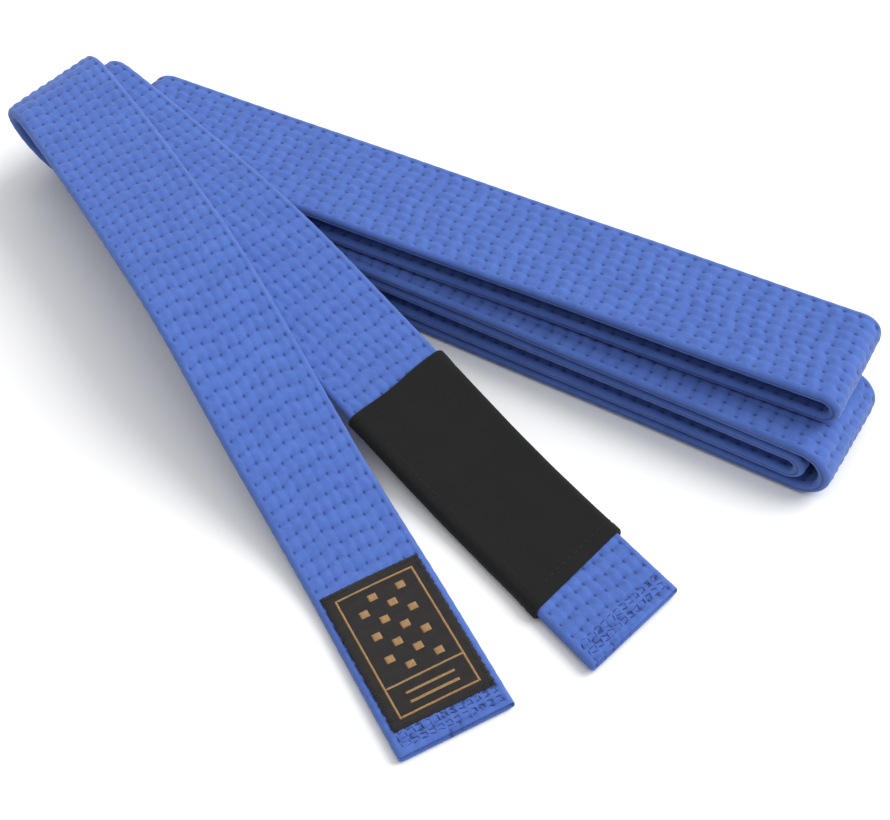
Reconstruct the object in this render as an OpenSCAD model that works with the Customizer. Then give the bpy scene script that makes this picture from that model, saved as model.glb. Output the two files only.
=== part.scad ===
// Martial arts belt, folded as for a shop shelf, with both ends lying out in front.
// One quilted strap runs through the whole part. It is bent along an ordered list of
// folds, and each sub-part is a stretch of that same strap, so the pieces always meet.
// Units are mm. +Z is up, +X runs along the folded bundle to its right end.

/* [Belt strap] */
// Width of the strap
belt_w = 40; // [35:0.5:50]
// Thickness of the strap over the cover
belt_t = 4.4; // [3:0.1:6]
// Thickness of the cover cloth
cover_t = 0.7; // [0.4:0.1:1.2]
// Air between two layers that lie on each other
layer_gap = 0.5; // [0.3:0.1:1.5]

/* [Folded bundle] */
// Straight run on the floor
floor_run = 296; // [200:1:400]
// How much shorter the third run is than the floor run
step_back = 25; // [20:1:40]
// Straight length of the top run
top_run = 275; // [200:1:400]
// Straight run just above the floor run
inner_run = 289; // [200:1:400]
// Open height between the second and third layers
lower_gape = 4.6; // [0.5:0.1:12]
// Open height under the top layer
upper_gape = 5.2; // [0.5:0.1:12]
// Skew of the upper layers in the bundle, degrees
bundle_skew = 1.2; // [0:0.1:5]
// Small skew of the third run, degrees
third_skew = 0.08; // [0:0.01:1]

/* [Label tail] */
// Length from the label end to the outer loop
label_tail_len = 290; // [240:1:400]
// Where the tail starts down from the top of the bundle, from the outer loop
label_tail_rest = 110; // [60:1:160]
// Slope of the tail down to the floor, degrees
label_tail_slope = 24.7; // [15:0.1:35]
// Skew of the bend where the tail starts down, degrees
label_crest_skew = 12.2; // [0:0.1:25]
// Side curve where the tail reaches the floor, degrees
label_foot_curve = 5.8; // [-10:0.1:15]
// Skew of the outer loop, degrees
label_loop_skew = 13; // [0:0.5:30]

/* [Bar tail] */
// Length from the inner loop to the bar end
bar_tail_len = 291; // [240:1:400]
// Where the tail starts down from the top of the bundle, from the inner loop
bar_tail_rest = 92.5; // [60:1:160]
// Slope of the tail down to the floor, degrees
bar_tail_slope = 17.6; // [10:0.1:30]
// Skew of the bend where the tail starts down, degrees
bar_crest_skew = 9.7; // [0:0.1:25]
// Side curve where the tail reaches the floor, degrees
bar_foot_curve = 3.6; // [-10:0.1:15]
// Skew of the inner loop, degrees
bar_loop_skew = 8.1; // [0:0.1:30]
// How far the bar end is cut off square, degrees
bar_end_skew = 6; // [0:0.5:10]

/* [Rank sleeve] */
// Length of the black sleeve
sleeve_len = 93; // [60:1:150]
// Blue belt left beyond the sleeve
stub_len = 26; // [10:1:60]
// How far the sleeve's lower edge is off square, degrees
sleeve_edge_skew = 8; // [0:0.5:15]
// Thickness of the sleeve cloth
sleeve_t = 0.9; // [0.5:0.1:1.5]
// Air between the sleeve and the strap
sleeve_air = 0.25; // [0.1:0.05:1]

/* [Label] */
// Label width across the belt
label_w = 35; // [20:0.5:38]
// Label length along the belt
label_l = 54.5; // [30:0.5:80]
// Distance from the belt's end to the label
label_inset = 6.8; // [3:0.1:30]
// Thickness of the woven label
label_t = 0.6; // [0.3:0.1:1.2]

/* [Quilting] */
// Rows of stitching along the belt
quilt_rows = 10; // [6:1:14]
// Distance between the rows
quilt_pitch = 3.85; // [2:0.05:6]
// Width of a thread
thread_w = 0.5; // [0.2:0.05:1]
// Height of a thread
thread_h = 0.16; // [0.1:0.02:0.2]

/* [Hinge zones] */
// Distance from the label end to its curl line
label_curl_at = 79; // [72:1:95]
// Length of cloth that bends at the label curl line
label_flex = 20; // [8:1:30]
// Length of cloth that bends before the sleeve
bar_flex = 10; // [6:1:20]
// Length of cloth that bends beyond the sleeve
stub_flex = 8; // [4:1:12]
// Distance from the top fold to where the top two layers bend
top_flex_at = 165; // [100:1:200]
// Length of cloth that bends there
top_flex = 30; // [10:1:50]

/* [Hidden] */
// Offset that puts the origin at the centre of the footprint
origin_shift = [156.709, 67.81, 0];
half_w = belt_w / 2;
half_t = belt_t / 2;
pitch_z = belt_t + layer_gap;
// Heights of the layers' mid planes, from the floor up
z_floor = half_t;
z_inner = z_floor + pitch_z;
z_fourth = z_inner + belt_t + lower_gape;
z_third = z_fourth + pitch_z;
z_second = z_third + pitch_z;
z_top = z_second + belt_t + upper_gape;
z_bar = z_top + pitch_z;
z_label = z_bar + pitch_z;
third_run = floor_run - step_back;
// Both tails end a little above the floor, the bar tail by the thickness of its sleeve
z_label_end = z_floor + 0.95;
z_bar_end = z_floor + sleeve_air + sleeve_t + 0.52;

// One stretch of the strap: [length, bend, skew, side turn, creases], angles in degrees
function fold(za, zb, skew, n, way) =
    [abs(za - zb) / 2 * PI / cos(skew), way * 180, skew, 0, n];
function run(len) = [len, 0, 0, 0, 0];
function ramp(drop, slope, skew) = drop / sin(slope) / cos(skew);

label_crest = 40;
label_foot = 50;
label_crest_turn = -2;
label_ramp_turn = -1;
label_ramp = ramp(z_label - z_label_end, label_tail_slope, label_crest_skew);
label_foot_at = label_tail_len - label_tail_rest - label_ramp;
label_foot_skew = -label_crest_skew - label_ramp_turn - label_foot_curve / 2 - label_crest_turn / 2;
label_part = [
    run(label_foot_at - label_foot / 2),
    [label_foot, -label_tail_slope, label_foot_skew, label_foot_curve, 5],
    [label_ramp - label_foot / 2 - label_crest / 2, 0, 0, label_ramp_turn, 3],
    [label_crest, label_tail_slope, -label_crest_skew, label_crest_turn, 5],
    [label_tail_rest - label_crest / 2, 0, 0, 3.1, 1]
];
bundle_part = [
    fold(z_label, z_floor, -label_loop_skew, 10, 1),
    run(floor_run),
    fold(z_floor, z_third, -third_skew, 8, 1),
    run(third_run),
    fold(z_third, z_second, -bundle_skew - third_skew, 6, -1),
    run(third_run),
    fold(z_second, z_top, 0, 8, 1),
    run(top_run),
    fold(z_top, z_fourth, bundle_skew, 8, 1),
    run(top_run - 4),
    fold(z_fourth, z_inner, 0, 6, -1),
    run(inner_run),
    fold(z_inner, z_bar, bar_loop_skew, 8, -1)
];
bar_crest = 50;
bar_foot = 50;
bar_crest_turn = -3;
bar_ramp_turn = 1.4;
bar_ramp = ramp(z_bar - z_bar_end, bar_tail_slope, bar_crest_skew);
bar_foot_skew = -bar_crest_skew + bar_crest_turn / 2 + bar_ramp_turn + bar_foot_curve / 2;
bar_part = [
    [bar_tail_rest - bar_crest / 2, 0, 0, 2.3, 1],
    [bar_crest, -bar_tail_slope, -bar_crest_skew, bar_crest_turn, 5],
    [bar_ramp - bar_crest / 2 - bar_foot / 2, 0, 0, bar_ramp_turn, 3],
    [bar_foot, bar_tail_slope, bar_foot_skew, bar_foot_curve, 6],
    run(bar_tail_len - bar_tail_rest - bar_ramp - bar_foot / 2)
];
route = concat(label_part, bundle_part, bar_part);

// Where each stretch starts, measured along the strap from the label end
function length_at(list, i) = i < len(list) ? list[i][0] : 0;
function starts(list) =
    [for (i = 0, s = 0; i <= len(list); s = s + length_at(list, i), i = i + 1) s];
at = starts(route);
n_label = len(label_part);
s_floor = at[n_label + 1];
s_right = at[n_label + 2];
s_third = at[n_label + 3];
s_crown = at[n_label + 6];
s_top = at[n_label + 7];
s_left = at[n_label + 8];
s_fourth = at[n_label + 9];
s_loop_b = at[n_label + 12];
s_bar = at[n_label + 13];
s_end = at[len(route)];

// Every crease: [distance along the strap, bend, skew, side turn]
creases = [
    for (i = [0:len(route) - 1])
        let (z = route[i], n = z[4])
            if (n > 0)
                for (k = [0:n - 1]) [at[i] + (k + 0.5) * z[0] / n, z[1] / n, z[2], z[3] / n]
];

// Rigid placements are [rotation rows, offset]
function turn_about(u, a) =
    let (c = cos(a), s = sin(a), t = 1 - c)
        [
            [t * u[0] * u[0] + c, t * u[0] * u[1] - s * u[2], t * u[0] * u[2] + s * u[1]],
            [t * u[0] * u[1] + s * u[2], t * u[1] * u[1] + c, t * u[1] * u[2] - s * u[0]],
            [t * u[0] * u[2] - s * u[1], t * u[1] * u[2] + s * u[0], t * u[2] * u[2] + c]
        ];
function about(rot, p) = [rot, p - rot * p];
function joined(a, b) = [a[0] * b[0], a[0] * b[1] + a[1]];
function crease_move(c, part) =
    let (p = [c[0], 0, 0])
        joined(about(turn_about([sin(c[2]), cos(c[2]), 0], part * c[1]), p),
            about(turn_about([0, 0, 1], part * c[3]), p));
function transposed(m) = [for (i = [0:2]) [m[0][i], m[1][i], m[2][i]]];
function undone(f) = let (r = transposed(f[0])) [r, -(r * f[1])];
flat = [[[1, 0, 0], [0, 1, 0], [0, 0, 1]], [0, 0, 0]];
function next_place(f, k) = k < len(creases) ? joined(f, crease_move(creases[k], 1)) : f;
chain = [for (k = 0, f = flat; k <= len(creases); f = next_place(f, k), k = k + 1) f];
function creases_before(s) = len([for (c = creases) if (c[0] < s) 1]);
// The floor run lies along +X with its back face up and ends where the right fold starts
floor_place = [[[1, 0, 0], [0, -1, 0], [0, 0, -1]], [0, 0, z_floor] + origin_shift];
anchor = joined(floor_place, undone(joined(chain[creases_before(s_right)], [flat[0], [s_right, 0, 0]])));
places = [for (f = chain) joined(anchor, f)];
function apply(f, p) = f[0] * p + f[1];

// A ring is one cross-section of the strap: [placement, distance, skew, miter]
function skew_at(s) =
    let (bends = [for (i = [0:len(route) - 1]) if (route[i][1] != 0) i])
        let (k = [for (i = bends) if (at[i] < s && s < at[i + 1]) route[i][2]])
            len(k) > 0 ? k[0] : 0;
function plain_ring(s, skew) = [places[creases_before(s)], s, skew, 1];
function crease_ring(k) =
    let (c = creases[k])
        [joined(places[k], crease_move(c, 0.5)), c[0], c[2], 1 / cos(c[1] / 2)];
function rings(s0, s1, skew0, skew1) =
    concat([plain_ring(s0, skew0)],
        [for (k = [0:len(creases) - 1]) if (creases[k][0] > s0 && creases[k][0] < s1) crease_ring(k)],
        [plain_ring(s1, skew1)]);
function ring_points(r, outline) =
    [for (q = outline) apply(r[0], [r[1] + q[0] * tan(r[2]), q[0], q[1] * r[3]])];
function flat_list(l) = [for (a = l) for (b = a) b];

// A solid stretch of strap with the given outline, [across, through]
module strap(s0, s1, outline, skew0 = undef, skew1 = undef) {
    rr = rings(s0, s1, is_undef(skew0) ? skew_at(s0) : skew0, is_undef(skew1) ? skew_at(s1) : skew1);
    n = len(outline);
    m = len(rr);
    points = flat_list([for (r = rr) ring_points(r, outline)]);
    sides = [for (j = [0:m - 2]) for (i = [0:n - 1])
        [j * n + i, j * n + (i + 1) % n, (j + 1) * n + (i + 1) % n, (j + 1) * n + i]];
    triangles = flat_list([for (q = sides) [[q[0], q[1], q[2]], [q[0], q[2], q[3]]]]);
    near = [for (i = [1:n - 2]) [0, i + 1, i]];
    far = [for (i = [1:n - 2]) [(m - 1) * n, (m - 1) * n + i, (m - 1) * n + i + 1]];
    polyhedron(points = points, faces = concat(triangles, near, far));
}

// A hollow stretch of strap: outer and inner outlines have as many points as each other
module tube(s0, s1, outer, inner, skew1 = undef) {
    rr = rings(s0, s1, skew_at(s0), is_undef(skew1) ? skew_at(s1) : skew1);
    n = len(outer);
    m = len(rr);
    w = 2 * n;
    points = flat_list([for (r = rr) concat(ring_points(r, outer), ring_points(r, inner))]);
    out_sides = [for (j = [0:m - 2]) for (i = [0:n - 1])
        [j * w + i, j * w + (i + 1) % n, (j + 1) * w + (i + 1) % n, (j + 1) * w + i]];
    in_sides = [for (j = [0:m - 2]) for (i = [0:n - 1])
        [j * w + n + (i + 1) % n, j * w + n + i, (j + 1) * w + n + i, (j + 1) * w + n + (i + 1) % n]];
    near = [for (i = [0:n - 1]) [n + i, n + (i + 1) % n, (i + 1) % n, i]];
    e = (m - 1) * w;
    far = [for (i = [0:n - 1]) [e + i, e + (i + 1) % n, e + n + (i + 1) % n, e + n + i]];
    quads = concat(out_sides, in_sides, near, far);
    triangles = flat_list([for (q = quads) [[q[0], q[1], q[2]], [q[0], q[2], q[3]]]]);
    polyhedron(points = points, faces = triangles);
}

// Places flat work on the strap: x runs across the belt, y along it, z out of one face
module on_strap(s, face) {
    f = places[creases_before(s)];
    o = apply(f, [s, 0, 0]);
    u = f[0] * [0, face, 0];
    v = f[0] * [-1, 0, 0];
    n = f[0] * [0, 0, face];
    multmatrix([
        [u[0], v[0], n[0], o[0]],
        [u[1], v[1], n[1], o[1]],
        [u[2], v[2], n[2], o[2]],
        [0, 0, 0, 1]
    ]) children();
}

// Outlines across the strap, starting at one edge and going round
function rounded(hw, ht) = [
    [-hw, 0], [-hw + 0.35 * ht, 0.62 * ht], [-hw + ht, ht], [hw - ht, ht], [hw - 0.35 * ht, 0.62 * ht],
    [hw, 0], [hw - 0.35 * ht, -0.62 * ht], [hw - ht, -ht], [-hw + ht, -ht], [-hw + 0.35 * ht, -0.62 * ht]
];
function bar(hw, n0, n1) = [[-hw, n0], [-hw, n1], [hw, n1], [hw, n0]];
cover_outer = rounded(half_w, half_t);
cover_inner = rounded(half_w - cover_t, half_t - cover_t);
core_half = half_w - cover_t - 1.7;
core_top = half_t - cover_t - 0.06;
ply_face = bar(core_half, 0.04, core_top);
ply_back = bar(core_half, -core_top, -0.04);
both_plies = bar(core_half, -core_top, core_top);
sleeve_inner = rounded(half_w + sleeve_air, half_t + sleeve_air);
sleeve_outer = rounded(half_w + sleeve_air + sleeve_t, half_t + sleeve_air + sleeve_t);

// Borders between the rigid bodies, along the strap
hem = 9;
label_curl_0 = label_curl_at - label_flex / 2;
label_curl_1 = label_curl_at + label_flex / 2;
label_lift_0 = at[3] + 1;
label_lift_1 = at[4] - 1;
top_flex_s5 = s_top + top_flex_at;
top_flex_s4 = s_crown - top_flex_at;
sleeve_0 = s_end - stub_len - sleeve_len;
sleeve_1 = s_end - stub_len;
bar_lift_0 = sleeve_0 - 0.6 - bar_flex;
bar_lift_1 = sleeve_0 - 0.6;
stub_flex_0 = sleeve_1 + 3.5;
stub_0 = stub_flex_0 + stub_flex;
loop_edge = 8;

module cover(s0, s1, skew1 = undef) {
    color([0.30, 0.44, 0.78]) tube(s0, s1, cover_outer, cover_inner, skew1);
}
module ply(s0, s1, outline) {
    color([0.92, 0.90, 0.84]) strap(s0 + 0.2, s1 - 0.2, outline);
}
// Rows of quilting thread on one face, 1 for the front face and -1 for the back
module quilting(s0, s1, face) {
    low = half_t + 0.02;
    color([0.16, 0.25, 0.55])
        for (i = [0:quilt_rows - 1]) {
            w = (i - (quilt_rows - 1) / 2) * quilt_pitch;
            strap(s0 + 0.3, s1 - 0.3, face > 0
                ? [[w - thread_w / 2, low], [w, low + thread_h], [w + thread_w / 2, low]]
                : [[w + thread_w / 2, -low], [w, -low - thread_h], [w - thread_w / 2, -low]]);
        }
}
module stitch_bar(x, y, long_x, long_y, z) {
    translate([x - long_x / 2, y - long_y / 2, z]) cube([long_x, long_y, 0.16]);
}

// Cover, from the label end to the bar end
module cover_label_end() { cover(0, label_curl_0); }
module cover_bend_label_curl() { cover(label_curl_0, label_curl_1); }
module cover_label_tail() { cover(label_curl_1, label_lift_0); }
module cover_bend_label_lift() { cover(label_lift_0, label_lift_1); }
module cover_loop_label() { cover(label_lift_1, s_floor + loop_edge); }
module cover_run_2() { cover(s_floor + loop_edge, s_right); }
module cover_fold_2_3() { cover(s_right, s_third); }
module cover_runs_3_4() { cover(s_third, top_flex_s4 - top_flex / 2); }
module cover_bend_run_4() { cover(top_flex_s4 - top_flex / 2, top_flex_s4 + top_flex / 2); }
module cover_top_fold() { cover(top_flex_s4 + top_flex / 2, top_flex_s5 - top_flex / 2); }
module cover_bend_run_5() { cover(top_flex_s5 - top_flex / 2, top_flex_s5 + top_flex / 2); }
module cover_run_5() { cover(top_flex_s5 + top_flex / 2, s_left - 2); }
module cover_fold_5_6() { cover(s_left - 2, s_fourth + 2); }
module cover_runs_6_7() { cover(s_fourth + 2, s_loop_b - loop_edge); }
module cover_loop_bar() { cover(s_loop_b - loop_edge, bar_lift_0); }
module cover_bend_bar_lift() { cover(bar_lift_0, bar_lift_1); }
module cover_bar_tail() { cover(bar_lift_1, stub_flex_0); }
module cover_bend_stub_curl() { cover(stub_flex_0, stub_0); }
module cover_bar_stub() { cover(stub_0, s_end, bar_end_skew); }

// Core plies inside the cover
module core_face_label_end() { ply(hem + 0.4, label_curl_0, ply_face); }
module core_back_label_end() { ply(hem + 0.4, label_curl_0, ply_back); }
module core_face_label_tail() { ply(label_curl_1, label_lift_0, ply_face); }
module core_back_label_tail() { ply(label_curl_1, label_lift_0, ply_back); }
module core_face_label_loop_side() { ply(label_lift_1, top_flex_s4 - top_flex / 2, ply_face); }
module core_back_label_loop_side() { ply(label_lift_1, top_flex_s4 - top_flex / 2, ply_back); }
module core_face_top_fold() { ply(top_flex_s4 + top_flex / 2, top_flex_s5 - top_flex / 2, ply_face); }
module core_back_top_fold() { ply(top_flex_s4 + top_flex / 2, top_flex_s5 - top_flex / 2, ply_back); }
module core_face_bar_loop_side() { ply(top_flex_s5 + top_flex / 2, bar_lift_0, ply_face); }
module core_back_bar_loop_side() { ply(top_flex_s5 + top_flex / 2, bar_lift_0, ply_back); }
module core_face_bar_tail() { ply(bar_lift_1, stub_flex_0, ply_face); }
module core_back_bar_tail() { ply(bar_lift_1, stub_flex_0, ply_back); }
module core_face_bar_stub() { ply(stub_0, s_end - hem - 0.4, ply_face); }
module core_back_bar_stub() { ply(stub_0, s_end - hem - 0.4, ply_back); }
module core_bend_label_curl() { ply(label_curl_0, label_curl_1, both_plies); }
module core_bend_label_lift() { ply(label_lift_0, label_lift_1, both_plies); }
module core_bend_run_4() { ply(top_flex_s4 - top_flex / 2, top_flex_s4 + top_flex / 2, both_plies); }
module core_bend_run_5() { ply(top_flex_s5 - top_flex / 2, top_flex_s5 + top_flex / 2, both_plies); }
module core_bend_bar_lift() { ply(bar_lift_0, bar_lift_1, both_plies); }
module core_bend_stub_curl() { ply(stub_flex_0, stub_0, both_plies); }

// Hems: the cover's raw ends are tucked in and stitched down
module hem_tuck_label_end() {
    color([0.26, 0.39, 0.72]) strap(0.3, hem, both_plies);
}
module hem_tuck_bar_end() {
    color([0.26, 0.39, 0.72]) strap(s_end - hem, s_end - 0.3, both_plies, 0, bar_end_skew);
}
module hem_grid(z) {
    for (i = [0:2]) stitch_bar(0, -1.9 + 1.9 * i, 33, 0.4, z);
    for (i = [0:8]) stitch_bar(-16 + 4 * i, 0, 0.4, 4.2, z);
}
module hem_stitch_label_end() {
    color([0.16, 0.25, 0.55]) on_strap(3.6, 1) hem_grid(half_t + 0.02);
}
module hem_stitch_bar_end() {
    color([0.16, 0.25, 0.55]) on_strap(s_end - 5.5, -1) hem_grid(half_t + 0.02);
}

// Quilting rows on the faces that show
module quilting_label_end() { quilting(hem + 0.5, label_curl_0, 1); }
module quilting_label_tail() { quilting(label_curl_1, label_lift_0, 1); }
module quilting_bundle() {
    quilting(label_lift_1, s_floor - 12, 1);
    quilting(s_right + 3, top_flex_s4 - top_flex / 2, 1);
    quilting(top_flex_s5 + top_flex / 2, s_loop_b - 6, 1);
    quilting(s_bar + 6, bar_lift_0, -1);
}
module quilting_top_fold() { quilting(top_flex_s4 + top_flex / 2, top_flex_s5 - top_flex / 2, 1); }
module quilting_bar_stub() { quilting(stub_0, s_end - hem - 0.5, -1); }

// Woven label, sewn on over the quilting
label_0 = label_inset;
label_1 = label_inset + label_l;
label_base = half_t + thread_h + 0.1;
label_face = label_base + label_t + 0.01;
module label_patch() {
    color([0.07, 0.06, 0.07])
        strap(label_0, label_1, bar(label_w / 2, label_base, label_base + label_t), 0, 0);
}
// A woven line on the label's face, from one edge point to another
module woven_line(s0, s1, w0, w1, high) {
    top = label_face + high;
    strap(s0, s1, [[w0, label_face], [w0, top], [w1, top], [w1, label_face]], 0, 0);
}
module woven_square(s, w, size) { woven_line(s, s + size, w, w + size, 0.15); }
module label_woven_frame() {
    line_w = 0.7;
    x = label_w / 2 - 3.5;
    inside = x - line_w - 0.15;
    near = label_0 + 3;
    far = label_0 + 44;
    color([0.66, 0.50, 0.27]) {
        woven_line(near, far, -x, -x + line_w, 0.15);
        woven_line(near, far, x - line_w, x, 0.15);
        woven_line(near, near + line_w, -inside, inside, 0.15);
        woven_line(far - line_w, far, -inside, inside, 0.15);
        woven_line(near + 9, near + 9 + line_w, -inside, inside, 0.15);
        for (i = [0:4])
            for (j = [0:3])
                woven_square(near + 13.5 + i * 4.8, -8.4 + j * 4.8, 2.4);
    }
}
module label_edge_stitch() {
    x = label_w / 2 - 1.2;
    color([0.03, 0.03, 0.03]) {
        for (side = [-1, 1], i = [0:8]) {
            s = label_0 + 2 + i * 4.4;
            woven_line(s, s + 3, side * x - 0.25, side * x + 0.25, 0.16);
        }
        for (i = [0:6]) {
            w = -x + 2.9 + i * 4.48;
            woven_line(label_0 + 0.9, label_0 + 1.4, w, w + 2.9, 0.16);
        }
    }
}

// Black rank sleeve with its hem and seam threads
module rank_sleeve() {
    color([0.09, 0.09, 0.10]) tube(sleeve_0, sleeve_1, sleeve_outer, sleeve_inner, sleeve_edge_skew);
}
sleeve_skin = half_t + sleeve_air + sleeve_t + 0.01;
module sleeve_seam_thread() {
    w = half_w - 5;
    outline = [[w + 0.25, -sleeve_skin], [w, -sleeve_skin - 0.16], [w - 0.25, -sleeve_skin]];
    color([0.02, 0.02, 0.02]) strap(sleeve_0 + 4.6, sleeve_1 - 4.6, outline);
}
module sleeve_hem_thread(s, skew) {
    hw = half_w - 2;
    color([0.02, 0.02, 0.02])
        strap(s - 0.25, s + 0.25, bar(hw, -sleeve_skin - 0.16, -sleeve_skin), skew, skew);
}
module sleeve_hem_thread_upper() { sleeve_hem_thread(sleeve_0 + 4, 0); }
module sleeve_hem_thread_lower() { sleeve_hem_thread(sleeve_1 - 4, sleeve_edge_skew); }

cover_label_end();
cover_label_tail();
cover_loop_label();
cover_run_2();
cover_fold_2_3();
cover_runs_3_4();
cover_top_fold();
cover_run_5();
cover_fold_5_6();
cover_runs_6_7();
cover_loop_bar();
cover_bar_tail();
cover_bar_stub();
cover_bend_label_curl();
cover_bend_label_lift();
cover_bend_run_4();
cover_bend_run_5();
cover_bend_bar_lift();
cover_bend_stub_curl();
core_face_label_end();
core_back_label_end();
core_face_label_tail();
core_back_label_tail();
core_face_label_loop_side();
core_back_label_loop_side();
core_face_top_fold();
core_back_top_fold();
core_face_bar_loop_side();
core_back_bar_loop_side();
core_face_bar_tail();
core_back_bar_tail();
core_face_bar_stub();
core_back_bar_stub();
core_bend_label_curl();
core_bend_label_lift();
core_bend_run_4();
core_bend_run_5();
core_bend_bar_lift();
core_bend_stub_curl();
hem_tuck_label_end();
hem_tuck_bar_end();
hem_stitch_label_end();
hem_stitch_bar_end();
quilting_label_end();
quilting_label_tail();
quilting_bundle();
quilting_top_fold();
quilting_bar_stub();
label_patch();
label_woven_frame();
label_edge_stitch();
rank_sleeve();
sleeve_seam_thread();
sleeve_hem_thread_upper();
sleeve_hem_thread_lower();
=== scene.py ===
import bpy
import math
import numpy as np
from mathutils import Matrix, Vector


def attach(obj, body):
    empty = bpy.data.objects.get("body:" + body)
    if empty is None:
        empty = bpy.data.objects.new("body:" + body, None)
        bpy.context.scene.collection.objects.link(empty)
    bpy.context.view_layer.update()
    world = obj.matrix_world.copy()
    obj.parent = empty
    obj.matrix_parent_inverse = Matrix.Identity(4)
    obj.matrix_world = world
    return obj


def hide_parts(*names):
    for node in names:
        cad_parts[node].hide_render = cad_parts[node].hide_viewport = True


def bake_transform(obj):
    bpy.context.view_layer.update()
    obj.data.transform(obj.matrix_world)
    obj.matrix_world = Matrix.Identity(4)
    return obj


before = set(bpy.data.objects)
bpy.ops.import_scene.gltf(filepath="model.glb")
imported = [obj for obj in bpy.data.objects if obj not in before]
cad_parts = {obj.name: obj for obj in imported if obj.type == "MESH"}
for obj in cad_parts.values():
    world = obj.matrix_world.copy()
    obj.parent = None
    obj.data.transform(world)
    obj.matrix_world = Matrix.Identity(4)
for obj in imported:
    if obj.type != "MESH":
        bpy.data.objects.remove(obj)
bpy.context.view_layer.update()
MM = 0.001
# The cloth's puffs press a little below the CAD's flat rest plane
FLOOR_LEVEL = -0.00042

# Belt strap, in mm, as in the CAD source
HALF_W = 20.0
HALF_T = 2.2
LAYER_GAP = 0.5
LOWER_GAPE = 4.6
UPPER_GAPE = 5.2
PITCH_Z = 2 * HALF_T + LAYER_GAP
ORIGIN = np.array([156.709, 67.81, 0.0])

# Straight runs of the folded bundle, and the skews of its folds in degrees
FLOOR_RUN = 296
TOP_RUN = 275
FOURTH_RUN = 271
THIRD_RUN = 271
INNER_RUN = 289
BUNDLE_SKEW = 1.2
THIRD_SKEW = 0.08
LABEL_LOOP_SKEW = 13
BAR_LOOP_SKEW = 8.1

# Rank sleeve, its distance from the bar end, and how far its lower edge is off square
SLEEVE_AIR = 0.25
SLEEVE_T = 0.9
SLEEVE_LEN = 93
STUB_LEN = 26
SLEEVE_EDGE_TAN = math.tan(math.radians(8.0))
BAR_END_SKEW = 6.0

# Levels of the layers' mid planes, from the floor up
Z_FLOOR = HALF_T
Z_INNER = Z_FLOOR + PITCH_Z
Z_FOURTH = Z_INNER + 2 * HALF_T + LOWER_GAPE
Z_THIRD = Z_FOURTH + PITCH_Z
Z_SECOND = Z_THIRD + PITCH_Z
Z_TOP = Z_SECOND + 2 * HALF_T + UPPER_GAPE
Z_BAR = Z_TOP + PITCH_Z
Z_LABEL = Z_BAR + PITCH_Z
# How far above the floor run's level each tail's foot ends
LABEL_FOOT_RISE = 0.95
BAR_FOOT_RISE = 0.52
# Each crease of the CAD chain is split into this many, so that bends look round
FINE = 6


# A stretch of the route is [length, bend, skew, side turn, creases], angles in degrees

def fold(za, zb, skew, n, way):
    length = abs(za - zb) / 2 * math.pi / math.cos(math.radians(skew))
    return [length, way * 180, skew, 0, n]


def run(length):
    return [length, 0, 0, 0, 0]


def ramp(drop, slope, skew):
    """Length along the strap that comes down by drop."""
    return drop / math.sin(math.radians(slope)) / math.cos(math.radians(skew))


def label_stretches():
    """From the label end on the floor, up the ramp and over to the outer loop."""
    length, rest, slope, skew, curve = 290, 110, 24.7, 12.2, 5.8
    foot, crest = 50, 40
    ramp_turn, crest_turn, rest_turn = -1, -2, 3.1
    down = ramp(Z_LABEL - Z_FLOOR - LABEL_FOOT_RISE, slope, skew)
    foot_at = length - rest - down
    foot_skew = -skew - ramp_turn - curve / 2 - crest_turn / 2
    return [
        run(foot_at - foot / 2),
        [foot, -slope, foot_skew, curve, 5],
        [down - foot / 2 - crest / 2, 0, 0, ramp_turn, 3],
        [crest, slope, -skew, crest_turn, 5],
        [rest - crest / 2, 0, 0, rest_turn, 1],
    ]


def bundle_stretches():
    """From the outer loop to the inner loop, layer by layer."""
    return [
        fold(Z_LABEL, Z_FLOOR, -LABEL_LOOP_SKEW, 10, 1),
        run(FLOOR_RUN),
        fold(Z_FLOOR, Z_THIRD, -THIRD_SKEW, 8, 1),
        run(THIRD_RUN),
        fold(Z_THIRD, Z_SECOND, -BUNDLE_SKEW - THIRD_SKEW, 6, -1),
        run(THIRD_RUN),
        fold(Z_SECOND, Z_TOP, 0, 8, 1),
        run(TOP_RUN),
        fold(Z_TOP, Z_FOURTH, BUNDLE_SKEW, 8, 1),
        run(FOURTH_RUN),
        fold(Z_FOURTH, Z_INNER, 0, 6, -1),
        run(INNER_RUN),
        fold(Z_INNER, Z_BAR, BAR_LOOP_SKEW, 8, -1),
    ]


def bar_stretches():
    """From the inner loop, down the ramp to the bar end on the floor."""
    length, rest, slope, skew, curve = 291, 92.5, 17.6, 9.7, 3.6
    bend, rest_turn, crest_turn, ramp_turn = 50, 2.3, -3, 1.4
    down = ramp(Z_BAR - Z_FLOOR - SLEEVE_AIR - SLEEVE_T - BAR_FOOT_RISE, slope, skew)
    foot_skew = -skew + crest_turn / 2 + ramp_turn + curve / 2
    return [
        [rest - bend / 2, 0, 0, rest_turn, 1],
        [bend, -slope, -skew, crest_turn, 5],
        [down - bend, 0, 0, ramp_turn, 3],
        [bend, slope, foot_skew, curve, 6],
        run(length - rest - down - bend / 2),
    ]


def turn_about(u, degrees):
    return np.array(Matrix.Rotation(math.radians(degrees), 3, Vector(u)))


def about(rot, p):
    m = np.eye(4)
    m[:3, :3] = rot
    m[:3, 3] = p - rot @ p
    return m


# Where in the route the bundle starts, and where its right fold is
BUNDLE = len(label_stretches())
RIGHT_FOLD = BUNDLE + 2


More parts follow.
